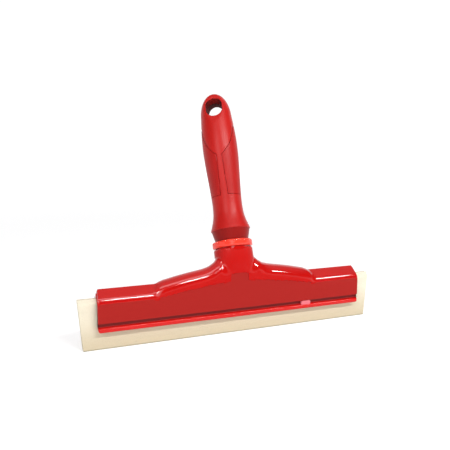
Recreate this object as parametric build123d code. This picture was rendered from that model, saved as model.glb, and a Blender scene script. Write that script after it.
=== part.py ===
# Hand squeegee: a moulded head with a raking threaded neck, a slide-in cassette that
# clamps two cellular rubber strips, and a screw-in grip with a hanging hole.
#
# Frame, in millimetres: the origin is the middle of the blade's working edge, +X runs
# along the blade, +Z points up from the edge into the head, and the face that carries
# the flat panel looks towards -Y. The neck and the grip rake back towards +Y.

import os
from math import cos, radians, sin, tan

from build123d import *

# Driving sizes
blade_length = 250.0        # working edge, end to end
blade_overhang = 11.0       # blade beyond each end of the head, at the edge
blade_projection = 14.2     # working edge to the cassette's bead
neck_rake = 20.0            # degrees that the neck leans back from the blade's plane
grip_length = 121.0         # flare to tip
grip_turn = -28.0           # degrees that the tightened grip stands turned on its axis

# Blade strips and their backing
strip_thickness = 3.1
strip_lean = 3.6            # how much further each strip would reach out at the ridge
backing_thickness = 1.6
backing_inset = 2.8         # backing's lower edge, above the bead's
seam = 0.05                 # between the backing and each strip
strip_clearance = 0.1       # between a strip and the clamping ribs

# Cassette
rib_reach = 0.75            # how far the clamping ribs stand in from the walls
rib_count = 3
rib_spacing = 5.0
cassette_wall = 1.5
cassette_clearance = 0.3    # between the cassette and the head
bead_height = 4.0
bead_round = 1.7
catch_place = 62.0          # middle of the push-in catch, along the cassette
catch_length = 9.0
catch_gap = 0.35            # between the catch and the head's lower edge

# Head section
head_wall = 2.6             # walls and roof of the channel
dark_gap = 3.3              # bead to the walls' lower edge
face_height = 16.8          # walls' lower edge to the eaves
roof_pitch = 43.0           # degrees, both roof slopes
key_height = 7.5            # middle of the key groove, above the walls' lower edge
key_groove_width = 2.4
key_groove_depth = 1.2

# Shoulders that rise from the roof to the neck
shoulder_reach = 75.5       # middle of the head to a shoulder's toe
shoulder_toe = 11.5         # length of the steep toe
shoulder_toe_rise = 8.6     # rise of the toe above the eaves
shoulder_slope_rise = 4.1   # rise of the long slope from the toe to the neck
toe_radius = 10.0
neck_sweep_radius = 13.0
shoulder_edge_radius = 3.6
shoulder_edge_margin = 1.0  # edges this near the eaves or the top stay sharp
shoulder_top_drop = 3.0     # shoulders' flat tops, below the neck's step
axis_rise = 3.1             # ridge to the point where the neck axis crosses the middle plane

# Screw thread, right-handed
thread_pitch = 4.5
thread_core_radius = 9.4    # root of the grip's thread
thread_depth = 1.3
thread_root_width = 2.1
thread_crest_width = 1.0
thread_clearance = 0.3      # all round between the two threads
thread_turns = 2.5
spigot_length = 17.0
spigot_lead = 3.0           # plain end of the spigot before its thread
socket_spare = 3.0          # room under the spigot

# Neck and seal ring, along the neck axis
neck_length = 19.2          # crossing point to the step that faces the ring
rim_wall = 3.2              # neck wall outside the thread, at the rim
neck_step = 2.0             # step from the rim out to the neck
neck_root = 8.0             # how far the neck runs down past the crossing point
ring_gap = 0.8              # between the step and the ring
ring_height = 5.7
ring_bore_clearance = 0.3
ring_overhang = 0.5         # ring beyond the neck
ring_round = 1.9
rim_clearance = 0.4         # collar to the rim

# Grip: collar, outline and tongue
collar_inset = 0.4          # collar's lower edge, inside the rim
collar_height = 8.7
flare_radius = 16.4
flare_step = 1.2            # collar's top to the widest ring of the flare
flare_undercut = 0.5
flare_slope = -0.45         # outline's change of radius per height, at the flare
waist_radius = 12.55
waist_place = 19.0          # from the flare
belly_radius = 14.95
belly_place = 70.0          # from the flare
crown_radius = 12.8
crown_place = 17.0          # from the tip
brow_radius = 9.6
brow_place = 6.0            # from the tip
tongue_radius = 7.5
tongue_flat = 5.6           # half the distance across the tongue's flats
tongue_end = 35.0           # from the tip
tongue_clearance = 0.1

# Hanging hole and the two facets beside it, from the tip
hole_radius = 7.1
hole_place = 15.8
facet_run = 32.6
facet_half_thickness = 5.2  # at the tip

# Soft grip panels, from the flare
panel_depth = 1.3
panel_bottom = 27.5
panel_inner_top = 62.0      # beside the plain strip
panel_bend_top = 74.0       # where the upper edge turns up the flank
panel_bend_reach = 10.5
panel_outer_top = 88.0      # round on the flank
panel_outer_reach = 13.5
plain_half_width_low = 2.95
plain_half_width_high = 2.05
panel_seam = 0.1

# Worked out from the sizes above
head_length = blade_length - 2 * blade_overhang
clamp_half = backing_thickness / 2 + seam + strip_thickness + strip_clearance
cassette_inner = clamp_half + rib_reach
head_half_depth = cassette_inner + cassette_wall + cassette_clearance + head_wall
bead_bottom = blade_projection
bead_top = bead_bottom + bead_height
face_foot = bead_top + dark_gap
eaves_height = face_foot + face_height
roof_rise = tan(radians(roof_pitch))
ridge_height = eaves_height + head_half_depth * roof_rise
axis_height = ridge_height + axis_rise
thread_crest_radius = thread_core_radius + thread_depth
rim_radius = thread_crest_radius + thread_clearance + rim_wall
neck_radius = rim_radius + neck_step
ring_radius = neck_radius + ring_overhang
ring_bottom = neck_length + ring_gap
ring_top = ring_bottom + ring_height
rim_height = ring_top
collar_bottom = rim_height + rim_clearance
collar_top = collar_bottom + collar_height
flare_height = collar_top + flare_step
grip_tip = flare_height + grip_length
spigot_bottom = collar_bottom - spigot_length
thread_start = spigot_bottom + spigot_lead
neck_plane = Plane(
    origin=(0, 0, axis_height),
    x_dir=(1, 0, 0),
    z_dir=(0, sin(radians(neck_rake)), cos(radians(neck_rake))),
)
grip_location = neck_plane.location * Location((0, 0, 0), (0, 0, grip_turn))
reach = 4 * blade_length    # size of cutting boxes
upwards = (Align.CENTER, Align.CENTER, Align.MIN)


def house(inset, foot, length):
    """The head's section, inset evenly from its walls and roof, run along X."""
    half = head_half_depth - inset
    apex = ridge_height - inset / cos(radians(roof_pitch))
    eaves = apex - half * roof_rise
    outline = Polyline((-half, foot), (-half, eaves), (0, apex), (half, eaves), (half, foot), close=True)
    return extrude(Plane.YZ * make_face(outline), length / 2, both=True)


def rod(radius, bottom, top):
    """A solid round bar about +Z."""
    return Pos(0, 0, bottom) * Cylinder(radius, top - bottom, align=upwards)


def helix_rib(start, turns, root_width, crest_width, root_radius, crest_radius):
    """A right-handed trapezoid rib about +Z, wider at its root."""
    path = Helix(pitch=thread_pitch, height=thread_pitch * turns, radius=root_radius)
    rise = crest_radius - root_radius
    corners = Polyline(
        (0, -root_width / 2),
        (rise, -crest_width / 2),
        (rise, crest_width / 2),
        (0, root_width / 2),
        close=True,
    )
    section = Plane(origin=path @ 0, x_dir=(1, 0, 0), z_dir=path % 0) * make_face(corners)
    return Pos(0, 0, start) * sweep(section, path=path, is_frenet=True)


def make_shoulders():
    """The two long swooping shoulders that carry the neck, as one block."""
    break_height = eaves_height + shoulder_toe_rise
    root_height = break_height + shoulder_slope_rise
    top = axis_height + neck_length - shoulder_top_drop
    right = [
        (shoulder_reach, face_foot + head_wall),
        (shoulder_reach, eaves_height),
        (shoulder_reach - shoulder_toe, break_height),
        (neck_radius, root_height),
        (neck_radius, top),
    ]
    left = [(-x, z) for x, z in reversed(right)]
    outline = Sketch() + make_face(Polyline(*right, *left, close=True))
    toes = [corner for corner in outline.vertices() if abs(corner.Y - break_height) < seam]
    outline = fillet(toes, toe_radius)
    roots = [corner for corner in outline.vertices() if abs(corner.Y - root_height) < seam]
    outline = fillet(roots, neck_sweep_radius)
    block = extrude(Plane.XZ * outline, head_half_depth, both=True)
    low = eaves_height + shoulder_edge_margin
    high = top - shoulder_edge_margin
    rims = [
        edge for edge in block.edges()
        if abs(abs(edge.center().Y) - head_half_depth) < seam and low < edge.center().Z < high
    ]
    return fillet(rims, shoulder_edge_radius)


def make_neck(top):
    """The raking round neck with its stepped rim, cut flush with the flat face."""
    barrel = rod(neck_radius, -neck_root, neck_length) + rod(rim_radius, -neck_root, top)
    before = Box(reach, reach, reach, align=(Align.CENTER, Align.MAX, Align.CENTER))
    below = Box(reach, reach, reach, align=(Align.CENTER, Align.CENTER, Align.MAX))
    before = Pos(0, -head_half_depth, 0) * before
    below = Pos(0, 0, face_foot + head_wall) * below
    return neck_plane * barrel - before - below


def make_head():
    """Head moulding: open channel, sloping roof, shoulders and threaded neck."""
    tall = rim_height + 2 * thread_pitch
    bore = rod(thread_core_radius + thread_clearance, spigot_bottom - socket_spare, tall)
    groove = helix_rib(
        thread_start - thread_pitch,
        (tall - thread_start) / thread_pitch,
        thread_root_width + 2 * thread_clearance,
        thread_crest_width + 2 * thread_clearance,
        thread_core_radius,
        thread_crest_radius + thread_clearance,
    )
    key_depth = 2 * (head_half_depth - head_wall + key_groove_depth)
    key = Pos(0, 0, face_foot + key_height) * Box(head_length, key_depth, key_groove_width)
    head = house(0, face_foot, head_length) + make_shoulders() + make_neck(tall)
    head = head - house(head_wall, face_foot - head_wall, head_length) - key
    head = head - neck_plane * bore - neck_plane * groove
    return head - neck_plane * rod(2 * neck_radius, rim_height, 2 * tall)


def make_seal_ring():
    """Rolled ring round the neck's rim, under the grip's collar."""
    ring = rod(ring_radius, ring_bottom, ring_top)
    ring = ring - rod(rim_radius + ring_bore_clearance, ring_bottom, ring_top)
    circles = ring.edges().filter_by(GeomType.CIRCLE)
    outer = [edge for edge in circles if edge.radius > neck_radius]
    return neck_plane * fillet(outer, ring_round)


def make_clamping_ribs():
    """Barbed ribs inside the cassette's walls, pointing up against the strips."""
    ribs = []
    for step in range(rib_count):
        height = face_foot + head_wall + step * rib_spacing - rib_reach
        for side in (-1, 1):
            root = side * (cassette_inner + cassette_wall / 2)
            corners = Polyline(
                (root, height - rib_reach),
                (side * clamp_half, height + rib_reach),
                (root, height + rib_reach),
                close=True,
            )
            ribs.append(extrude(Plane.YZ * make_face(corners), head_length / 2, both=True))
    return ribs


def make_cassette():
    """Slide-in channel with rounded lower beads, keys, clamping ribs and a catch."""
    outer = head_wall + cassette_clearance
    outer_half = head_half_depth - outer
    bead = Pos(0, 0, bead_bottom) * Box(head_length, 2 * head_half_depth, bead_height, align=upwards)
    bead = fillet(bead.edges().filter_by(Axis.X), bead_round)
    key_depth = 2 * (head_half_depth - head_wall + key_groove_depth - cassette_clearance)
    key_width = key_groove_width - 2 * cassette_clearance
    key = Pos(0, 0, face_foot + key_height) * Box(head_length, key_depth, key_width)
    catch_height = bead_height / 2 + dark_gap - catch_gap
    catch_depth = outer + cassette_wall / 2 - catch_gap
    catch = Pos(catch_place, cassette_wall / 2 - outer_half, bead_bottom + bead_height / 2) * Box(
        catch_length, catch_depth, catch_height, align=(Align.CENTER, Align.MAX, Align.MIN)
    )
    cassette = house(outer, bead_bottom, head_length) + bead + key + catch
    cassette = cassette - house(outer + cassette_wall, bead_bottom - cassette_wall, head_length)
    for rib in make_clamping_ribs():
        cassette = cassette + rib
    return cassette


def strip_room():
    """The room for the strips and their backing, down from the cassette's roof."""
    inset = head_wall + cassette_clearance + cassette_wall + strip_clearance
    return house(inset, -strip_clearance, reach)


def make_backing():
    """Stiff web between the two rubber strips."""
    bottom = bead_bottom + backing_inset
    web = Pos(0, 0, bottom) * Box(head_length, backing_thickness, ridge_height, align=upwards)
    return web & strip_room()


def make_strip(side):
    """One cellular rubber strip; its ends lean outwards from the edge to the top."""
    low = blade_length / 2
    high = low + strip_lean
    outline = Polyline((-low, 0), (low, 0), (high, ridge_height), (-high, ridge_height), close=True)
    slab = extrude(Plane.XZ * make_face(outline), strip_thickness / 2, both=True)
    middle = side * (backing_thickness / 2 + seam + strip_thickness / 2)
    return (Pos(0, middle, 0) * slab) & strip_room()


def grip_solid(inset):
    """The grip's turned outline about +Z, inset evenly."""
    tip = grip_tip - inset
    flare = flare_radius - inset
    wall = Spline(
        (flare, flare_height),
        (waist_radius - inset, flare_height + waist_place),
        (belly_radius - inset, flare_height + belly_place),
        (crown_radius - inset, grip_tip - crown_place),
        (brow_radius - inset, grip_tip - brow_place),
        (0, tip),
        tangents=[(flare_slope, 1), (-1, 0)],
    )
    ends = Polyline(
        (0, tip),
        (0, collar_top),
        (flare - flare_undercut, collar_top),
        (flare, collar_top + flare_undercut),
        (flare, flare_height),
    )
    return revolve(Plane.XZ * make_face(wall + ends), Axis.Z)


def tongue(extra):
    """The core's flatted tongue inside the grip, grown evenly by extra."""
    bar = rod(tongue_radius + extra, collar_top - tongue_clearance, grip_tip - tongue_end + extra)
    return bar & Box(reach, 2 * (tongue_flat + extra), reach)


def facet(side):
    """A slanting cut that thins the grip beside its hanging hole."""
    foot = grip_tip - facet_run
    over = grip_tip + facet_run
    far = 2 * belly_radius
    lean = (belly_radius - facet_half_thickness) / facet_run
    corners = Polyline(
        (side * belly_radius, foot),
        (side * (belly_radius - lean * (over - foot)), over),
        (side * far, over),
        (side * far, foot),
        close=True,
    )
    return extrude(Plane.YZ * make_face(corners), far, both=True)


def panel_zone(grow):
    """The flank of the grip that one soft panel covers, seen from its front."""
    low = flare_height + panel_bottom - grow
    top = flare_height + panel_outer_top + grow
    far = 2 * belly_radius
    inner = (plain_half_width_high - grow, flare_height + panel_inner_top + grow)
    bend = (panel_bend_reach - grow, flare_height + panel_bend_top + grow)
    outer = (panel_outer_reach - grow, top)
    sides = Polyline(inner, (plain_half_width_low - grow, low), (far, low), (far, top), outer)
    outline = make_face(sides + ThreePointArc(outer, bend, inner))
    return extrude(Plane.XZ * outline, far, both=True)


def panel(side, grow):
    """A curved shell of the grip's surface within a panel's outline."""
    shell = (grip_solid(0) - grip_solid(panel_depth + grow)) & panel_zone(grow)
    return shell if side > 0 else mirror(shell, Plane.YZ)


def make_core():
    """Rigid core: threaded spigot, tapered collar and the tongue inside the grip."""
    spigot = rod(thread_core_radius, spigot_bottom, collar_bottom + thread_depth)
    root_radius = thread_core_radius - thread_clearance
    thread = helix_rib(
        thread_start, thread_turns, thread_root_width, thread_crest_width, root_radius, thread_crest_radius
    )
    collar = Pos(0, 0, collar_bottom) * Cone(
        rim_radius - collar_inset, flare_radius - flare_undercut, collar_height, align=upwards
    )
    return neck_plane * (collar + spigot + thread) + grip_location * tongue(0)


def make_sleeve():
    """Grip sleeve with flare, belly, side recesses, facets and hanging hole."""
    hole = Pos(0, 0, grip_tip - hole_place) * Rot(90, 0, 0) * Cylinder(hole_radius, 4 * belly_radius)
    sleeve = grip_solid(0) - tongue(tongue_clearance) - facet(1) - facet(-1) - hole
    for side in (-1, 1):
        sleeve = sleeve - panel(side, panel_seam)
    return grip_location * sleeve


parts = {
    "head_frame": make_head(),
    "seal_ring": make_seal_ring(),
    "cassette_channel": make_cassette(),
    "blade_backing": make_backing(),
    "blade_strip_front": make_strip(-1),
    "blade_strip_rear": make_strip(1),
    "grip_core": make_core(),
    "grip_sleeve": make_sleeve(),
    "grip_panel_left": grip_location * panel(-1, 0),
    "grip_panel_right": grip_location * panel(1, 0),
}

os.makedirs("parts", exist_ok=True)
for name, shape in parts.items():
    export_step(shape, f"parts/{name}.step")
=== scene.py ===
from math import atan2, cos, radians, sin, tau

import bmesh
import bpy
import numpy as np
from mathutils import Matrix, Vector


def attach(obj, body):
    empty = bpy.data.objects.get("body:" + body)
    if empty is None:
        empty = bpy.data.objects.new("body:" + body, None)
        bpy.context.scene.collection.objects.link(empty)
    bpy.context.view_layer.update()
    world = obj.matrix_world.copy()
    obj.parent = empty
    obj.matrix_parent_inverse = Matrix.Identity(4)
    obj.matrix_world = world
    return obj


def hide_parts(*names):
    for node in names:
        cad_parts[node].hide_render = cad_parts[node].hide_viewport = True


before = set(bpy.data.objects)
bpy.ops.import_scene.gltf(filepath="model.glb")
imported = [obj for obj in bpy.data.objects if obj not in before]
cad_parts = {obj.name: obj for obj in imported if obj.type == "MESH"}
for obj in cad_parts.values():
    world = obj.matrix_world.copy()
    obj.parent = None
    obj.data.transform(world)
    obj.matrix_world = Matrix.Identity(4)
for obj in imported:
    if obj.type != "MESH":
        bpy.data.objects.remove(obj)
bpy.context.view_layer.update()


# Studio: a pale floor in a room that is white behind and low down, grey overhead and dark in
# front, so that the glossy red stays deep. Two thin strip lamps draw the white lines along the
# moulding, and two broad weak ones fill the top and the front. The camera looks down slightly.
room_dark, room_grey, room_white = (0.07, 0.07, 0.074), (0.50, 0.50, 0.51), (1.0, 1.0, 1.0)
room_strength = 1.05
floor_half = 6.0
floor_grey, floor_pale = (0.58, 0.58, 0.58), (0.62, 0.62, 0.62)
glow_near, glow_far = (0.50, 0.50, 0.50), (0.95, 0.95, 0.95)
camera_place, camera_target = (-0.16056, -0.39109, 0.15195), Vector((-0.01813, -0.02195, 0.0932))
camera_lens = 41.85


class Wire:
    """An output of a shader node. Sums written with it add the Math nodes."""

    def __init__(self, bench, socket):
        self.bench = bench
        self.socket = socket

    def maths(self, operation, *values):
        return self.bench.node("Math", {"operation": operation}, dict(enumerate(values)))

    def __add__(self, other):
        return self.maths("ADD", self, other)

    def __radd__(self, other):
        return self.maths("ADD", other, self)

    def __sub__(self, other):
        return self.maths("SUBTRACT", self, other)

    def __rsub__(self, other):
        return self.maths("SUBTRACT", other, self)

    def __mul__(self, other):
        return self.maths("MULTIPLY", self, other)

    def __rmul__(self, other):
        return self.maths("MULTIPLY", other, self)

    def __abs__(self):
        return self.maths("ABSOLUTE", self)

    def step(self, low, high):
        """0 below low, 1 above high, smooth between."""
        return self.bench.node(
            "MapRange",
            {"interpolation_type": "SMOOTHSTEP"},
            {"Value": self, "From Min": low, "From Max": high},
        )

    def part(self, name):
        """Another output of the same node."""
        return Wire(self.bench, self.socket.node.outputs[name])


class Bench:
    """A node tree that a section fills."""

    def __init__(self, tree):
        self.tree = tree
        self.tree.nodes.clear()

    def node(self, kind, settings=None, sockets=None):
        """One node: its settings first, then the values or wires of its sockets."""
        made = self.tree.nodes.new("ShaderNode" + kind)
        for name, value in (settings or {}).items():
            setattr(made, name, value)
        for name, value in (sockets or {}).items():
            if isinstance(value, Wire):
                self.tree.links.new(value.socket, made.inputs[name])
            else:
                made.inputs[name].default_value = value
        return Wire(self, made.outputs[0]) if made.outputs else None

    def mix(self, factor, first, second):
        """A colour between two colours."""
        first, second = [c if isinstance(c, Wire) else (*c, 1.0) for c in (first, second)]
        return self.node("Mix", {"data_type": "RGBA"}, {0: factor, 6: first, 7: second}).part(2)

    def surface(self, sockets):
        """The surface that the material ends in."""
        coat = self.node("BsdfPrincipled", None, sockets)
        self.node("OutputMaterial", None, {"Surface": coat})


def material(name):
    """A new material and its bench."""
    made = bpy.data.materials.new(name)
    made.use_nodes = True
    return made, Bench(made.node_tree)


def show(name, data):
    """A new object of a mesh, lamp or camera, put in the scene."""
    made = bpy.data.objects.new(name, data)
    bpy.context.scene.collection.objects.link(made)
    return made


def soft_light(name, place, target, width, height, watts):
    """A rectangular lamp at a place, turned to face a target."""
    lamp = bpy.data.lights.new(name, "AREA")
    lamp.shape = "RECTANGLE"
    lamp.size = width
    lamp.size_y = height
    lamp.energy = watts
    stand = show(name, lamp)
    stand.location = place
    stand.rotation_euler = (Vector(target) - Vector(place)).to_track_quat("-Z", "Y").to_euler()


bpy.context.scene.view_settings.view_transform = "Standard"

world = bpy.data.worlds.new("studio_surroundings")
world.use_nodes = True
bpy.context.scene.world = world
sky = Bench(world.node_tree)
heading = sky.node("SeparateXYZ", None, {"Vector": sky.node("TexCoord").part("Generated")})
overhead = heading.part("Z").step(0.55, 0.9)
behind = (heading.part("Y") + 0.35 * heading.part("X")).step(0.45, 0.80)
skyline = 1 - heading.part("Z").step(0.20, 0.34)
tint = sky.mix(overhead, room_dark, room_grey)
tint = sky.mix(behind, tint, room_white)
tint = sky.mix(skyline, tint, room_white)
light = sky.node("Background", None, {"Color": tint, "Strength": room_strength})
sky.node("OutputWorld", None, {"Surface": light})

floor_mesh = bpy.data.meshes.new("floor")
floor_corners = [(-floor_half, -floor_half), (floor_half, -floor_half)]
floor_corners += [(floor_half, floor_half), (-floor_half, floor_half)]
floor_mesh.from_pydata([(x, y, 0.0) for x, y in floor_corners], [], [(0, 1, 2, 3)])
floor = show("floor", floor_mesh)
floor_paint, bench = material("pale_floor")
spot = bench.node("TexCoord").part("Object")
grain = bench.node("TexNoise", None, {"Vector": spot, "Scale": 40.0, "Detail": 6.0})
away = bench.node("VectorMath", {"operation": "LENGTH"}, {0: spot}).part("Value").step(0.3, 2.4)
bench.surface(
    {
        "Base Color": bench.mix(grain, floor_grey, floor_pale),
        "Roughness": 0.9,
        "Specular IOR Level": 0.0,
        "Emission Color": bench.mix(away, glow_near, glow_far),
        "Emission Strength": 1.0,
    }
)
floor_mesh.materials.append(floor_paint)

soft_light("strip_light", (0.485, -0.86, 0.92), (0.485, 0, 0.05), width=0.87, height=0.06, watts=12.5)
soft_light("side_light", (-0.90, -0.86, 0.92), (-0.90, 0, 0.05), width=0.6, height=0.06, watts=5.0)
soft_light("top_light", (-0.15, -0.66, 1.30), (0, 0, 0.1), width=0.9, height=0.3, watts=2.5)
soft_light("front_light", (-0.55, -1.30, 0.75), (0, 0, 0.1), width=0.5, height=0.9, watts=3.2)

camera = show("camera", bpy.data.cameras.new("camera"))
camera.data.lens = camera_lens
camera.data.sensor_width = 36.0
camera.location = camera_place
camera.rotation_euler = (camera_target - camera.location).to_track_quat("-Z", "Y").to_euler()
bpy.context.scene.camera = camera


# Head: one glossy injection moulding in red plastic. An open channel with a pitched roof
# carries two long shoulders that sweep up into the raking threaded neck, and a shallow fine
# matte panel is let into its flat face. Sizes are in millimetres from the wiping edge up.
mm = 0.001
head_half_length = 114.0
half_depth = 9.2
foot, foot_round = 21.5, 0.5
eaves, eaves_round = 38.3, 3.0
pitch_angle = radians(43)
ridge, ridge_round = eaves + half_depth * sin(pitch_angle) / cos(pitch_angle), 0.6
wall = 2.6
end_lean, end_round = 0.14, 0.7
keyway_depth, keyway_height, keyway_half = 7.8, 7.5, 1.2
shoulder_foot, shoulder_round, shoulder_blend = 26, 6.0, 1.2
crest_fall, crest_round = 0.5, 3.0
rake = radians(20)
axis_height = ridge + 3.1
neck_radius, neck_top, neck_edge = 16.2, 19.2, 0.9
barrel_foot, barrel_round, barrel_blend = 27, 7.0, 4.0
face_rise = 0.1
rim_radius, rim_top, rim_root, rim_edge = 14.2, 25.7, 2, 0.5
bore_radius, bore_foot = 9.7, 6.1
thread_pitch, thread_depth, thread_foot, thread_start = 4.5, 1.3, 7.6, 12.1
groove_half, groove_flank = 1.4, 0.6
panel_depth, panel_ceiling = 0.5, 51.6
gloss_deep, gloss_warm = (0.40, 0.002, 0.0015), (0.47, 0.004, 0.002)
matte_deep, matte_warm = (0.29, 0.009, 0.007), (0.36, 0.014, 0.011)
dust_pink = (0.85, 0.25, 0.22)
# height of the shoulders' crest at places along the head
crest = [
    (0, 53.0), (9, 55.6), (14, 59.0), (16.6, 60.3), (19.2, 59.2), (22.8, 57.0), (27.8, 55.3),
    (33, 54.3), (40, 53.2), (49, 51.6), (57.5, 49.8), (63.5, 48.3), (67.5, 46.4), (71, 43.4),
    (75, 39.0), (80, 33),
]
# outline of the matte panel's one half, from the middle of its upper edge outwards
panel_edge = [
    (0, 51.4), (6.6, 51.0), (7.7, 50.2), (7.9, 44.7), (26, 43.4), (35, 41.9), (45, 40.9),
    (55, 39.1), (66.6, 37.4), (67.0, 35.7), (112.6, 35.7), (112.9, 35.2), (112.9, 15), (0, 15),
]


def swell(x, knots):
    """Height of a smooth curve through knots, and its slope."""
    places, heights = np.array(knots, float).T
    slopes = np.gradient(heights, places)
    i = np.clip(np.searchsorted(places, x) - 1, 0, len(places) - 2)
    gap = places[i + 1] - places[i]
    t = np.clip((x - places[i]) / gap, 0, 1)
    rise = heights[i + 1] - heights[i]
    a, b = slopes[i] * gap, slopes[i + 1] * gap
    value = heights[i] + t * (a + t * (3 * rise - 2 * a - b + t * (a + b - 2 * rise)))
    slope = (a + t * (2 * (3 * rise - 2 * a - b) + 3 * t * (a + b - 2 * rise))) / gap
    return value, slope


def outline(u, v, corners):
    """Distance to a closed outline, negative inside."""
    best = np.full(np.broadcast(u, v).shape, np.inf)
    inside = np.zeros(best.shape, bool)
    for (au, av), (bu, bv) in zip(corners, corners[1:] + corners[:1]):
        eu, ev = bu - au, bv - av
        wu, wv = u - au, v - av
        t = np.clip((wu * eu + wv * ev) / (eu * eu + ev * ev), 0, 1)
        best = np.minimum(best, (wu - t * eu) ** 2 + (wv - t * ev) ** 2)
        if ev:
            inside ^= ((av > v) != (bv > v)) & (wu < eu * wv / ev)
    return np.where(inside, -1, 1) * np.sqrt(best)


def common(a, b, radius):
    """What two shapes share, its edge rounded."""
    over = np.hypot(np.maximum(a + radius, 0), np.maximum(b + radius, 0))
    return np.minimum(np.maximum(a, b) + radius, 0) + over - radius


def join(a, b, blend):
    """Two shapes run together, the corner between them filled."""
    h = np.clip(0.5 + 0.5 * (b - a) / blend, 0, 1)
    return b * (1 - h) + a * h - blend * h * (1 - h)


def along_neck(y, z):
    """Height along the neck's axis, and depth across it."""
    up = z - axis_height
    return y * sin(rake) + up * cos(rake), y * cos(rake) - up * sin(rake)


def threaded_bore(x, s, t):
    """The neck's bore with its thread, s up its axis and x and t across it."""
    winding = s - thread_start - thread_pitch * np.arctan2(t, x) / tau + thread_pitch / 2
    from_groove = np.abs(np.mod(winding, thread_pitch) - thread_pitch / 2)
    groove = thread_depth * np.clip((groove_half - from_groove) / groove_flank, 0, 1)
    groove = groove * np.clip((s - thread_foot) / 0.5, 0, 1)
    return np.maximum(0.8 * (np.hypot(x, t) - bore_radius - groove), bore_foot - s)


def head_shape(x, y, z):
    """Distance to the head's surface, negative inside."""
    side, depth = np.abs(x), np.abs(y)
    rise = (z - ridge) * cos(pitch_angle)
    roof = depth * sin(pitch_angle) + rise
    soft_roof = np.hypot(depth, ridge_round) * sin(pitch_angle) + rise
    body = common(depth - half_depth, soft_roof, eaves_round)
    height, slope = swell(side, crest)
    fall = crest_fall * (np.hypot(y, crest_round) - crest_round)
    top = (z - height + fall) / np.sqrt(1.15 + slope**2)
    shoulders = common(top, depth - half_depth, shoulder_round)
    body = join(body, common(shoulders, shoulder_foot - z, 1.0), shoulder_blend)
    s, t = along_neck(y, z)
    round_neck = np.hypot(x, t)
    barrel = common(round_neck - neck_radius, s - neck_top, neck_edge)
    barrel = common(common(barrel, barrel_foot - z, 2.0), -half_depth - y, barrel_round)
    body = np.maximum(join(body, barrel, barrel_blend), face_rise - half_depth - y)
    end = side - head_half_length + end_lean * np.clip(z - eaves, 0, 9)
    body = common(common(body, end, end_round), foot - z, foot_round)
    rim = common(round_neck - rim_radius, s - rim_top, rim_edge)
    body = np.minimum(body, np.maximum(rim, neck_top - rim_root - s))
    body = np.maximum(body, s - rim_top)
    channel = np.maximum(depth - half_depth + wall, roof + wall)
    keyway = np.maximum(depth - keyway_depth, np.abs(z - foot - keyway_height) - keyway_half)
    hollow = np.minimum(np.minimum(channel, keyway), threaded_bore(x, s, t))
    panel = np.maximum(outline(side, z, panel_edge), y + half_depth - panel_depth)
    return np.maximum(np.maximum(body, -hollow), -panel)


def crossings(shape, axes, value, axis, pace):
    """Where the surface cuts the grid lines along an axis: grid place, point and normal."""
    inside = value < 0
    lead = tuple(slice(0, -1) if a == axis else slice(1, -1) for a in range(3))
    trail = tuple(slice(1, None) if a == axis else slice(1, -1) for a in range(3))
    found = np.argwhere(inside[lead] != inside[trail])
    found += [0 if a == axis else 1 for a in range(3)]
    after = found.copy()
    after[:, axis] += 1
    start = np.stack([axes[a][found[:, a]] for a in range(3)], 1)
    va, vb = value[tuple(found.T)], value[tuple(after.T)]
    lo, hi = np.zeros(len(found)), np.ones(len(found))
    for _ in range(4):
        t = lo + (hi - lo) * np.clip(va / (va - vb), 0.05, 0.95)
        point = start.copy()
        point[:, axis] += t * pace[axis]
        v = shape(*point.T)
        same = (v < 0) == (va < 0)
        lo, va = np.where(same, t, lo), np.where(same, v, va)
        hi, vb = np.where(same, hi, t), np.where(same, vb, v)
    point = start.copy()
    point[:, axis] += (lo + (hi - lo) * va / (va - vb)) * pace[axis]
    tips = 0.01 * np.eye(3)
    normal = np.stack([shape(*(point + e).T) - shape(*(point - e).T) for e in tips], 1)
    normal /= np.linalg.norm(normal, axis=1)[:, None] + 1e-12
    return found, point, normal


def settled(total, cells, axes, pace):
    """The cells that the surface passes, and the point of each that fits its cuts best."""
    used = np.flatnonzero(total[:, 12])
    data = total[used]
    middle = data[:, 9:12] / data[:, 12:]
    matrix = data[:, [0, 1, 2, 1, 3, 4, 2, 4, 5]].reshape(-1, 3, 3)
    hold = 0.02 * data[:, 12]
    matrix = matrix + hold[:, None, None] * np.eye(3)
    wanted = data[:, 6:9] + hold[:, None] * middle
    points = np.linalg.solve(matrix, wanted[..., None])[..., 0]
    corner = np.stack(np.unravel_index(used, cells), 1) * pace + [a[0] for a in axes]
    return used, np.clip(points, corner - 0.2 * np.array(pace), corner + 1.2 * np.array(pace))


def smooth_piece(name, mesh):
    """An object of a mesh, smooth shaded, its edges of 35 degrees and more kept sharp."""
    mesh.shade_smooth()
    mesh.set_sharp_from_angle(angle=radians(35))
    return show(name, mesh)


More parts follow.
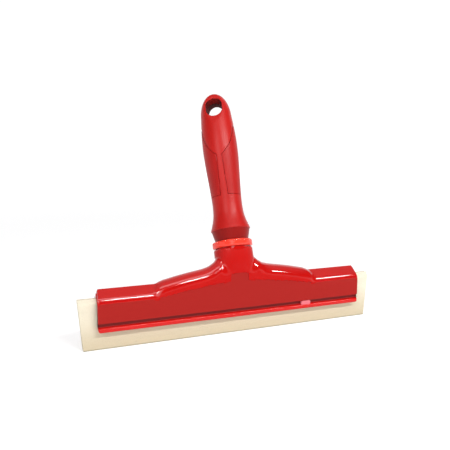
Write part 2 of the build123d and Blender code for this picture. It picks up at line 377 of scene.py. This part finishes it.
def cast(name, shape, low, high, pace, place=None):
    """A closed mesh of a shape, its points set on the shape's own surfaces and edges."""
    axes = [np.arange(a, b + p, p) for a, b, p in zip(low, high, pace)]
    value = np.array(shape(*np.meshgrid(*axes, indexing="ij", sparse=True)), float)
    cells = np.array(value.shape) - 1
    # sums for each cell: six of the normals' products, three of the cuts seen along their
    # normals, three of the cuts' places, and how many cuts there are
    total = np.zeros((int(np.prod(cells)), 13))
    quads = []
    for axis in range(3):
        found, point, normal = crossings(shape, axes, value, axis, pace)
        pull = np.einsum("ni,nj->nij", normal, normal).reshape(-1, 9)[:, [0, 1, 2, 4, 5, 8]]
        held = normal * np.einsum("ni,ni->n", normal, point)[:, None]
        share = np.hstack([pull, held, point, np.ones((len(found), 1))])
        b, c = [a for a in range(3) if a != axis]
        ring = []
        for db, dc in ((-1, -1), (0, -1), (0, 0), (-1, 0)):
            cell = found.copy()
            cell[:, b] += db
            cell[:, c] += dc
            flat = np.ravel_multi_index(tuple(cell.T), cells)
            np.add.at(total, flat, share)
            ring.append(flat)
        ring = np.stack(ring, 1)
        flip = (value[tuple(found.T)] < 0) == (axis == 1)
        ring[flip] = ring[flip][:, ::-1]
        quads.append(ring)
    used, points = settled(total, cells, axes, pace)
    number = np.full(len(total), -1)
    number[used] = np.arange(len(used))
    if place is not None:
        points = place(points)
    mesh = bpy.data.meshes.new(name)
    mesh.from_pydata((points * mm).tolist(), [], number[np.concatenate(quads)].tolist())
    mesh.validate()
    return smooth_piece(name, mesh)


head = cast("head_moulding", head_shape, (-115, -10.5, 20.4), (115, 26, 82), (1.15, 0.72, 0.72))

head_plastic, bench = material("glossy_red_plastic")
spot = bench.node("TexCoord").part("Object")
place = bench.node("SeparateXYZ", None, {"Vector": spot})
facing = bench.node("SeparateXYZ", None, {"Vector": bench.node("NewGeometry").part("Normal")})
off_panel = abs(place.part("Y") + (half_depth - panel_depth) * mm).step(0.00008, 0.00016)
under_neck = 1 - place.part("Z").step(panel_ceiling * mm, (panel_ceiling + 0.4) * mm)
matte = under_neck * (1 - off_panel) * (facing.part("Y") * -1).step(0.985, 0.996)
cloud = bench.node("TexNoise", None, {"Vector": spot, "Scale": 26.0, "Detail": 3.0})
grain = bench.node("TexNoise", None, {"Vector": spot, "Scale": 3800.0, "Detail": 2.0})
dust = bench.node("TexVoronoi", {"feature": "F1"}, {"Vector": spot, "Scale": 420.0})
speck = 1 - dust.step(0.02, 0.09)
rub = bench.node("TexNoise", None, {"Vector": spot, "Scale": 90.0, "Detail": 8.0, "Roughness": 0.7})
gloss_red = bench.mix(cloud, gloss_deep, gloss_warm)
matte_red = bench.mix(grain, matte_deep, matte_warm)
red = bench.mix(speck * 0.10, bench.mix(matte, gloss_red, matte_red), dust_pink)
rough = (0.10 + 0.10 * rub.step(0.52, 0.75)) * (1 - matte) + (0.47 + 0.10 * grain) * matte
polish = facing.part("Z").step(0.10, 0.40) * (1 - matte)
relief = grain * matte * 0.6 + cloud * (1 - matte) * 0.35
bump = bench.node("Bump", None, {"Height": relief, "Strength": 0.25, "Distance": 0.0002})
bench.surface(
    {
        "Base Color": red,
        "Roughness": rough,
        "Specular IOR Level": 0.11,
        "Coat Weight": polish,
        "Coat Roughness": 0.07,
        "Normal": bump,
    }
)
head.data.materials.append(head_plastic)
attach(head, "head")
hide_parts("head_frame")


# Cassette: the channel that holds the blade, moulded in the same red plastic, with a rounded
# bead along each lower edge, barbs inside that grip the rubber, and keys outside. It slides
# into the head from its end, and a small soft pad on the front locks it there.
cassette_inset, cassette_inner_inset = 2.9, 4.4
bead_foot, bead_top, bead_round, bead_end_round = 14.2, 18.2, 1.7, 2.6
barb_heights, barb = (33.35, 28.35, 23.35), 0.75
key_low, key_high, key_reach = 28.1, 29.9, 7.5
catch_low, catch_high, catch_margin = (57.5, -8.6, 16.2), (66.5, -5.6, 21.1), 0.8
bead_red, bead_warm = (0.50, 0.003, 0.002), (0.58, 0.005, 0.003)
# painted shade: a dark red for the cassette's wall in the groove under the head's face
groove_shade_red = (0.20, 0.002, 0.0015)
pad_deep, pad_pale = (0.62, 0.10, 0.13), (0.74, 0.16, 0.19)


def arc(centre, radius, start, end, count):
    """Points round part of a circle, in degrees."""
    angles = np.radians(np.linspace(start, end, count))
    return [(centre[0] + radius * cos(a), centre[1] + radius * sin(a)) for a in angles]


def roof_line(inset, y):
    """Height of the roof, inset evenly, at a depth."""
    return ridge - inset / cos(pitch_angle) - y * sin(pitch_angle) / cos(pitch_angle)


def cassette_section():
    """The cassette's section as a closed loop of depth and height."""
    inner, outer = half_depth - cassette_inner_inset, half_depth - cassette_inset
    half = [(inner, roof_line(cassette_inner_inset, inner))]
    for height in barb_heights:
        half += [(inner, height + barb), (inner - barb, height + barb), (inner, height)]
    half += [(inner, bead_foot + 0.3), (inner + 0.3, bead_foot)]
    half += arc((half_depth - bead_round, bead_foot + bead_round), bead_round, -90, 0, 9)
    half += arc((half_depth - bead_round, bead_top - bead_round), bead_round, 0, 90, 9)
    half += [(outer + 0.5, bead_top), (outer + 0.15, bead_top + 0.15), (outer, bead_top + 0.5)]
    half += [(outer, key_low), (key_reach, key_low), (key_reach, key_high), (outer, key_high)]
    half += [(outer, roof_line(cassette_inset, outer))]
    other_half = [(-y, z) for y, z in reversed(half)]
    top_outside, top_inside = roof_line(cassette_inset, 0), roof_line(cassette_inner_inset, 0)
    return half + [(0, top_outside)] + other_half + [(0, top_inside)]


def stations(half_length, near_end, first, count):
    """Places along a piece, close together at both ends."""
    inward = near_end + list(np.linspace(first, half_length, count))
    return [-half_length + d for d in inward] + [half_length - d for d in inward[-2::-1]]


def sunk(distance, radius):
    """How far a round-over of a radius lies in, at a distance from the end."""
    near = max(radius - distance, 0)
    return radius - (radius**2 - near**2) ** 0.5


def loft(name, loops):
    """A closed skin through loops of points, capped at both ends."""
    count = len(loops[0])
    faces = []
    for row in range(len(loops) - 1):
        a, b = row * count, (row + 1) * count
        for i in range(count):
            j = (i + 1) % count
            faces.append((a + i, a + j, b + j, b + i))
    mesh = bpy.data.meshes.new(name)
    mesh.from_pydata([tuple(c * mm for c in p) for loop in loops for p in loop], [], faces)
    work = bmesh.new()
    work.from_mesh(mesh)
    work.verts.ensure_lookup_table()
    for start in (0, (len(loops) - 1) * count):
        work.faces.new([work.verts[start + i] for i in range(count)])
    bmesh.ops.recalc_face_normals(work, faces=work.faces)
    bmesh.ops.triangulate(work, faces=[f for f in work.faces if len(f.verts) > 4])
    work.to_mesh(mesh)
    work.free()
    return smooth_piece(name, mesh)


section = cassette_section()
loops = []
for x in stations(head_half_length, [0, 0.12, 0.35, 0.7, 1.15, 1.7, 2.3, 2.6], 4, 40):
    distance = head_half_length - abs(x)
    low = bead_foot + sunk(distance, bead_end_round)
    wide = half_depth - sunk(distance, 1.2)
    loops.append(
        [(x, min(max(y, -wide), wide), max(z, low) if z < bead_top else z) for y, z in section]
    )
cassette = loft("cassette_moulding", loops)

cassette_plastic, bench = material("bright_red_bead_plastic")
spot = bench.node("TexCoord").part("Object")
cloud = bench.node("TexNoise", None, {"Vector": spot, "Scale": 30.0, "Detail": 3.0})
stretch = bench.node("Mapping", None, {"Vector": spot, "Scale": (12.0, 600.0, 600.0)})
draw = bench.node("TexNoise", None, {"Vector": stretch, "Scale": 1.0, "Detail": 4.0})
rise = bench.node("SeparateXYZ", None, {"Vector": spot}).part("Z")
# painted shade: the cassette's wall between the bead and the head's foot is darkened, and made
# rougher
groove_shade = rise.step(0.0180, 0.0187) * (1 - rise.step(0.0214, 0.0222))
red = bench.mix(groove_shade, bench.mix(cloud, bead_red, bead_warm), groove_shade_red)
rough = 0.12 + 0.12 * draw + 0.3 * groove_shade
bump = bench.node("Bump", None, {"Height": draw, "Strength": 0.2, "Distance": 0.0001})
bench.surface({"Base Color": red, "Roughness": rough, "Specular IOR Level": 0.3, "Normal": bump})
cassette.data.materials.append(cassette_plastic)
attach(cassette, "cassette")
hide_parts("cassette_channel")


def catch_shape(x, y, z):
    """Distance to the push pad's surface."""
    middle = [(a + b) / 2 for a, b in zip(catch_low, catch_high)]
    half = [(b - a) / 2 for a, b in zip(catch_low, catch_high)]
    side = [np.abs(c - m) - h for c, m, h in zip((x, y, z), middle, half)]
    return common(common(side[0], side[2], 1.3), side[1], 0.6)


around_low = [c - catch_margin for c in catch_low]
around_high = [c + catch_margin for c in catch_high]
catch = cast("catch_pad", catch_shape, around_low, around_high, (0.3, 0.3, 0.3))
catch_rubber, bench = material("pale_pink_pad")
spot = bench.node("TexCoord").part("Object")
grain = bench.node("TexNoise", None, {"Vector": spot, "Scale": 2200.0, "Detail": 2.0})
pink = bench.mix(grain, pad_deep, pad_pale)
rough = 0.35 + 0.15 * grain
bump = bench.node("Bump", None, {"Height": grain, "Strength": 0.3, "Distance": 0.0001})
bench.surface({"Base Color": pink, "Roughness": rough, "Normal": bump})
catch.data.materials.append(catch_rubber)
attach(catch, "cassette")


# Backing: the stiff off-white web that stands between the two rubber strips, a cut length of
# matte sheet plastic, clamped with them in the cassette. It keeps its solid and gets its own
# finish.
backing_white, backing_pale = (0.72, 0.70, 0.64), (0.82, 0.80, 0.75)
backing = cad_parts["blade_backing"]
backing_plastic, bench = material("off_white_sheet")
spot = bench.node("TexCoord").part("Object")
stretch = bench.node("Mapping", None, {"Vector": spot, "Scale": (40.0, 900.0, 900.0)})
draw = bench.node("TexNoise", None, {"Vector": stretch, "Scale": 1.0, "Detail": 3.0})
white = bench.mix(draw, backing_white, backing_pale)
rough = 0.5 + 0.15 * draw
bump = bench.node("Bump", None, {"Height": draw, "Strength": 0.2, "Distance": 0.0001})
bench.surface({"Base Color": white, "Roughness": rough, "Normal": bump})
backing.data.materials.clear()
backing.data.materials.append(backing_plastic)


# Blade: two strips of cream cellular rubber, cut from sheet, so their faces are smooth skin
# and their edges show fine open cells. They are pushed into the cassette from below, and
# their ends lean outwards from the wiping edge to the top.
strip_low_half = 125.0
strip_lean = 3.6 / ridge
strip_inner, strip_outer = 0.85, 3.95
strip_roof_inset = 4.5
edge_round = 0.35
cream_low, cream_high = (0.54, 0.46, 0.32), (0.72, 0.67, 0.54)
cream_cloud, cream_streak = (0.54, 0.46, 0.33), (0.50, 0.43, 0.32)
# the second colour here is painted shade for the strips' wiping edge
pore_brown, wiping_edge_shade = (0.45, 0.36, 0.23), (0.20, 0.19, 0.12)


def strip_section():
    """One strip's section as a closed loop of depth from the middle and height."""
    inner_top = roof_line(strip_roof_inset, strip_inner)
    outer_top = roof_line(strip_roof_inset, strip_outer)
    loop = arc((strip_inner + edge_round, edge_round), edge_round, 180, 270, 4)
    loop += arc((strip_outer - edge_round, edge_round), edge_round, 270, 360, 4)
    loop += [(strip_outer, height) for height in np.linspace(2, outer_top - edge_round, 22)]
    loop += [(strip_outer - 0.15, outer_top + 0.05), (strip_inner + 0.3, inner_top - 0.35)]
    loop += [(strip_inner, inner_top - 0.5)]
    return loop + [(strip_inner, height) for height in np.linspace(inner_top - 2, 2, 22)]


def sway(x, z, phase):
    """Small unevenness of a strip cut from soft sheet."""
    return 0.10 * sin(x / 17 + phase) * sin(z / 9 + phase) + 0.06 * sin(x / 6.3 - phase)


def strip(name, side):
    """A strip on one side of the backing, its ends rounded over slightly."""
    middle = (strip_inner + strip_outer) / 2
    half = (strip_outer - strip_inner) / 2
    loops = []
    for x in stations(strip_low_half, [0, 0.08, 0.2, 0.35], 1.5, 70):
        pull = sunk(strip_low_half - abs(x), edge_round)
        loop = []
        for y, z in strip_section():
            depth = middle + (y - middle) * (1 - pull / half)
            free = max(0.0, 1 - z / bead_foot) * (0 if y < middle else 1)
            depth -= abs(sway(x, z, 1 + side)) * free
            across = x * (1 + strip_lean * z / strip_low_half)
            loop.append((across, side * depth, max(z, pull)))
        loops.append(loop)
    return loft(name, loops)


cell_rubber, bench = material("cream_cellular_rubber")
spot = bench.node("TexCoord").part("Object")
height = bench.node("SeparateXYZ", None, {"Vector": spot}).part("Z")
cells = bench.node(
    "TexVoronoi", {"feature": "F1"}, {"Vector": spot, "Scale": 900.0, "Randomness": 1.0}
)
pores = 1 - cells.step(0.12, 0.42)
grain = bench.node("TexNoise", None, {"Vector": spot, "Scale": 1500.0, "Detail": 4.0})
cloud = bench.node(
    "TexNoise", None, {"Vector": spot, "Scale": 22.0, "Detail": 5.0, "Roughness": 0.6}
)
long_way = bench.node("Mapping", None, {"Vector": spot, "Scale": (9.0, 60.0, 110.0)})
streak = bench.node("TexNoise", None, {"Vector": long_way, "Scale": 1.0, "Detail": 5.0})
cream = bench.mix(height.step(0.0, 0.030), cream_low, cream_high)
cream = bench.mix(cloud.step(0.35, 0.7) * 0.22, cream, cream_cloud)
cream = bench.mix(streak.step(0.5, 0.75) * 0.14, cream, cream_streak)
cream = bench.mix(pores * 0.16, cream, pore_brown)
# painted shade: the strips' lowest millimetre, along the wiping edge, is darkened
cream = bench.mix((1 - height.step(0.0004, 0.0011)) * 0.75, cream, wiping_edge_shade)
relief = grain * 0.5 - pores
rough = 0.78 + 0.15 * grain
bump = bench.node("Bump", None, {"Height": relief, "Strength": 0.35, "Distance": 0.0002})
bench.surface({"Base Color": cream, "Roughness": rough, "Specular IOR Level": 0.25, "Normal": bump})
for name, node, side in (
    ("rubber_front", "blade_strip_front", -1),
    ("rubber_rear", "blade_strip_rear", 1),
):
    rubber = strip(name, side)
    rubber.data.materials.append(cell_rubber)
    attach(rubber, "cassette")
    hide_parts(node)


# Seal ring: a brighter orange red plastic ring, moulded with both edges rolled over, that
# drops over the neck's rim under the grip. Small notches are cut all round its upper shoulder.
ring_low, ring_high = 20.0, 25.7
ring_inner, ring_outer = 14.5, 16.7
ring_round = 1.5
notch_count, notch_foot, notch_depth, notch_half = 14, 23.4, 0.55, 0.9
ring_red, ring_warm = (0.78, 0.028, 0.012), (0.86, 0.045, 0.022)


def ring_shape(x, y, z):
    """Distance to the ring's surface, with z along the neck."""
    radius = np.hypot(x, y)
    turn = np.arctan2(y, x) * notch_count / tau
    from_notch = np.abs(turn - np.round(turn)) * tau * ring_outer / notch_count
    shelf = np.clip((z - notch_foot) / 0.5, 0, 1)
    notch = notch_depth * shelf * np.clip(1 - (from_notch / notch_half) ** 2, 0, 1)
    half = (ring_high - ring_low) / 2
    level = np.abs(z - ring_low - half) - half
    return np.maximum(common(radius - ring_outer + notch, level, ring_round), ring_inner - radius)


def on_neck(points, turn=0.0):
    """Points of a piece drawn upright, set on the raking neck and turned on it."""
    x, y, z = points.T
    u, v = x * cos(turn) - y * sin(turn), x * sin(turn) + y * cos(turn)
    depth, height = v * cos(rake) + z * sin(rake), axis_height - v * sin(rake) + z * cos(rake)
    return np.stack([u, depth, height], 1)


ring = cast(
    "rolled_ring", ring_shape, (-17.6, -17.6, 19.2), (17.6, 17.6, 26.6), (0.42, 0.42, 0.42), on_neck
)
ring_plastic, bench = material("orange_red_ring_plastic")
spot = bench.node("TexCoord").part("Object")
cloud = bench.node("TexNoise", None, {"Vector": spot, "Scale": 60.0, "Detail": 3.0})
fine = bench.node("TexNoise", None, {"Vector": spot, "Scale": 900.0, "Detail": 2.0})
red = bench.mix(cloud, ring_red, ring_warm)
rough = 0.12 + 0.10 * fine
bump = bench.node("Bump", None, {"Height": fine, "Strength": 0.12, "Distance": 0.0001})
bench.surface({"Base Color": red, "Roughness": rough, "Normal": bump})
ring.data.materials.append(ring_plastic)
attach(ring, "ring")
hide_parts("seal_ring")


# Grip core: the rigid moulding inside the grip, which screws into the neck. Only its tapered
# collar shows, as a darker band under the flare, and its threaded spigot when the grip is
# unscrewed. It keeps its solid and gets its own finish.
# the core's red is painted darker than the grip's, as shade for its collar under the flare
core_shade_deep, core_shade_warm = (0.20, 0.002, 0.001), (0.28, 0.004, 0.002)
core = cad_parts["grip_core"]
core_plastic, bench = material("core_red_painted_shade")
spot = bench.node("TexCoord").part("Object")
cloud = bench.node("TexNoise", None, {"Vector": spot, "Scale": 50.0, "Detail": 4.0})
fine = bench.node("TexNoise", None, {"Vector": spot, "Scale": 1600.0, "Detail": 3.0})
red = bench.mix(cloud, core_shade_deep, core_shade_warm)
rough = 0.30 + 0.15 * fine
bump = bench.node("Bump", None, {"Height": fine, "Strength": 0.2, "Distance": 0.0001})
bench.surface({"Base Color": red, "Roughness": rough, "Specular IOR Level": 0.15, "Normal": bump})
core.data.materials.clear()
core.data.materials.append(core_plastic)


# Grip: a satin red sleeve moulded over the core, flared at the foot, full at the belly, with
# two facets and a rounded hanging hole at the tip. A soft panel is let into each flank, with
# a fine parting line all round it, and three fine rings are scored round the waist.
grip_turn = radians(-28)
flare_foot, flare_round = 34.8, 0.9
cap_start, cap_length = 137.0, 20.0
hole_height, hole_radius, hole_round = 141.2, 7.1, 0.6
mouth_down, mouth_up = -0.9, 2.7
facet_foot, facet_root, facet_tip, facet_run, facet_round = 124.4, 14.95, 5.2, 32.6, 0.4
facet_angle = atan2(facet_root - facet_tip, facet_run)
core_half_width, core_half_depth, core_top = 7.6, 5.7, 122.1
panel_thickness, panel_bed, pocket_round, panel_round = 1.3, 0.1, 0.25, 0.4
panel_low, panel_high = 62.3, 129
parting = 0.28
grip_pace = (0.62, 0.62, 0.8)
panel_pace = (0.6, 0.6, 0.8)
scored_rings = (0.0617, 0.0592, 0.0567)
grip_deep, grip_warm, grip_grain = (0.36, 0.004, 0.003), (0.43, 0.007, 0.005), (0.75, 0.08, 0.06)
# painted shade for the inside of the hanging hole
hole_shade_dark = (0.05, 0.001, 0.001)
soft_deep, soft_warm = (0.33, 0.004, 0.003), (0.40, 0.007, 0.005)
# radius of the turned outline at heights along the grip
girth = [
    (30, 17.2), (36, 16.35), (39, 15.35), (43, 14.1), (48, 13.05), (55, 12.55), (64, 12.7),
    (74, 13.3), (85, 14.05), (96, 14.7), (106, 14.95), (116, 14.8), (127, 14.1), (137, 13.3),
    (160, 12.9),
]
# outline of one flank's panel, seen from the front
flank = [
    (2.95, 63.5), (30, 63.5), (30, 127), (14, 127), (13.2, 123), (12.1, 116), (10.5, 110),
    (8.2, 105), (4.6, 100.5), (2.05, 98.0),
]


def grip_skin(x, y, z):
    """Distance to the grip's turned outline, with z along its axis."""
    radius, slope = swell(z, girth)
    around = np.hypot(np.hypot(x, y) / radius, np.maximum(z - cap_start, 0) / cap_length)
    return (around - 1) * radius / np.sqrt(1 + slope**2)


def sleeve_shape(x, y, z):
    """Distance to the sleeve's surface."""
    skin = grip_skin(x, y, z)
    facet = (np.abs(y) - facet_root) * cos(facet_angle) + (z - facet_foot) * sin(facet_angle)
    body = common(common(skin, facet, facet_round), flare_foot - z, flare_round)
    pocket = np.maximum(outline(np.abs(x), z, flank), -skin - panel_thickness - panel_bed)
    body = common(body, -pocket, pocket_round)
    off = z - hole_height
    off = off - np.clip(off, mouth_down, mouth_up) * np.clip((-y - 1) / 6, 0, 1)
    body = common(body, hole_radius - np.hypot(x, off), hole_round)
    core_room = common(np.hypot(x, y) - core_half_width, np.abs(y) - core_half_depth, 0.3)
    return np.maximum(body, -np.maximum(core_room, z - core_top))


def panel_shape(side):
    """Distance function of one soft panel, on the +x flank or the -x one."""

    def shape(x, y, z):
        skin = grip_skin(x, y, z)
        edge = outline(side * x, z, flank) + parting
        return np.maximum(common(skin, edge, panel_round), -skin - panel_thickness)

    return shape


def on_grip(points):
    """Points of a piece drawn upright, set on the neck with the grip's turn."""
    return on_neck(points, grip_turn)


sleeve = cast(
    "grip_moulding", sleeve_shape, (-17.4, -17.4, 33.6), (17.4, 17.4, 158.2), grip_pace, on_grip
)
grip_plastic, bench = material("satin_red_grip_plastic")
spot = bench.node("TexCoord").part("Object")
cloud = bench.node("TexNoise", None, {"Vector": spot, "Scale": 45.0, "Detail": 4.0})
grain = bench.node("TexNoise", None, {"Vector": spot, "Scale": 2600.0, "Detail": 3.0})
axis_way = (0.0, sin(rake), cos(rake))
height = bench.node("VectorMath", {"operation": "DOT_PRODUCT"}, {0: spot, 1: axis_way}).part("Value")
height = height - axis_height * cos(rake) * mm
rings = 0
for ring_height in scored_rings:
    rings = rings + (1 - abs(height - ring_height).step(0.0001, 0.0006))
# the hole's wall, near the hole's axis and facing across it, is painted dark as shade inside the hole
hole_way = (sin(grip_turn), -cos(grip_turn) * cos(rake), cos(grip_turn) * sin(rake))
hole_middle = (0.0, hole_height * mm * sin(rake), (axis_height + hole_height * cos(rake)) * mm)
from_middle = bench.node("VectorMath", {"operation": "SUBTRACT"}, {0: spot, 1: hole_middle})
arm = bench.node("VectorMath", {"operation": "CROSS_PRODUCT"}, {0: from_middle, 1: hole_way})
arm = bench.node("VectorMath", {"operation": "LENGTH"}, {0: arm}).part("Value")
normal = bench.node("TexCoord").part("Normal")
along = bench.node("VectorMath", {"operation": "DOT_PRODUCT"}, {0: normal, 1: hole_way}).part("Value")
hole_shade_mask = (1 - arm.step(0.0098, 0.0106)) * (1 - abs(along).step(0.25, 0.6))
red = bench.mix(grain * 0.08, bench.mix(cloud, grip_deep, grip_warm), grip_grain)
red = bench.mix(hole_shade_mask * 0.85, red, hole_shade_dark)
rough = 0.30 + 0.12 * grain + 0.45 * hole_shade_mask
relief = grain * 0.5 - rings * 0.8
bump = bench.node("Bump", None, {"Height": relief, "Strength": 0.4, "Distance": 0.0001})
bench.surface({"Base Color": red, "Roughness": rough, "Specular IOR Level": 0.22, "Normal": bump})
sleeve.data.materials.append(grip_plastic)
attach(sleeve, "grip")
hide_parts("grip_sleeve")

panel_rubber, bench = material("soft_red_panel_rubber")
spot = bench.node("TexCoord").part("Object")
cloud = bench.node("TexNoise", None, {"Vector": spot, "Scale": 60.0, "Detail": 4.0})
grain = bench.node("TexVoronoi", {"feature": "F1"}, {"Vector": spot, "Scale": 1900.0})
red = bench.mix(cloud, soft_deep, soft_warm)
rough = 0.34 + 0.14 * grain
bump = bench.node("Bump", None, {"Height": grain, "Strength": 0.4, "Distance": 0.0001})
bench.surface({"Base Color": red, "Roughness": rough, "Specular IOR Level": 0.22, "Normal": bump})
for name, node, side, left, right in (
    ("flank_left", "grip_panel_left", -1, -17, -1.0),
    ("flank_right", "grip_panel_right", 1, 1.0, 17),
):
    low, high = (left, -17, panel_low), (right, 17, panel_high)
    soft = cast(name, panel_shape(side), low, high, panel_pace, on_grip)
    soft.data.materials.append(panel_rubber)
    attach(soft, "grip")
    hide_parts(node)
